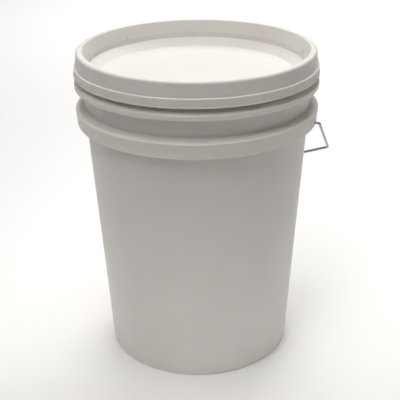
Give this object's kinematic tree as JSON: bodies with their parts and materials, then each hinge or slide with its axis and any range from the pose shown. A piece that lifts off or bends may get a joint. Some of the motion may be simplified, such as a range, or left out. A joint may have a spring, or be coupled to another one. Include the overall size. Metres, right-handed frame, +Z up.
{
  "type": "fermenting bucket",
  "caption": "Tapered plastic fermenting pail with two collars under the rim, a sealed press-on lid and a wire bail with a loose plastic grip.",
  "frame": {"origin": "centre of the foot ring, on the ground", "axes": "+Z up the pail's axis, X through the two ears, +Y to the side the bail hangs on"},
  "size_m": [0.3288, 0.3146, 0.4158],
  "materials": {
    "pail_plastic": "satin moulded polyethylene",
    "lid_plastic": "satin moulded polyethylene",
    "gasket_rubber": "soft matt rubber",
    "bail_steel": "drawn and galvanised wire",
    "grip_plastic": "satin moulded polyethylene"
  },
  "bodies": {
    "pail": {"bucket": "pail_plastic"},
    "lid": {"lid": "lid_plastic", "lid_gasket": "gasket_rubber"},
    "bail": {"bail_wire": "bail_steel"},
    "grip": {"bail_grip": "grip_plastic"}
  },
  "joints": [
    {"name": "lid_lift", "type": "slide", "parent": "pail", "child": "lid", "axis": [0, 0, 1], "range_m": [0, 0.3]},
    {"name": "bail_swing", "type": "hinge", "parent": "pail", "child": "bail", "pos_m": [0, 0, 0.328], "axis": [1, 0, 0], "range_deg": [0, 257.6]},
    {"name": "grip_spin", "type": "hinge", "parent": "bail", "child": "grip", "pos_m": [0, 0.14745, 0.20945], "axis": [1, 0, 0], "continuous": true}
  ]
}
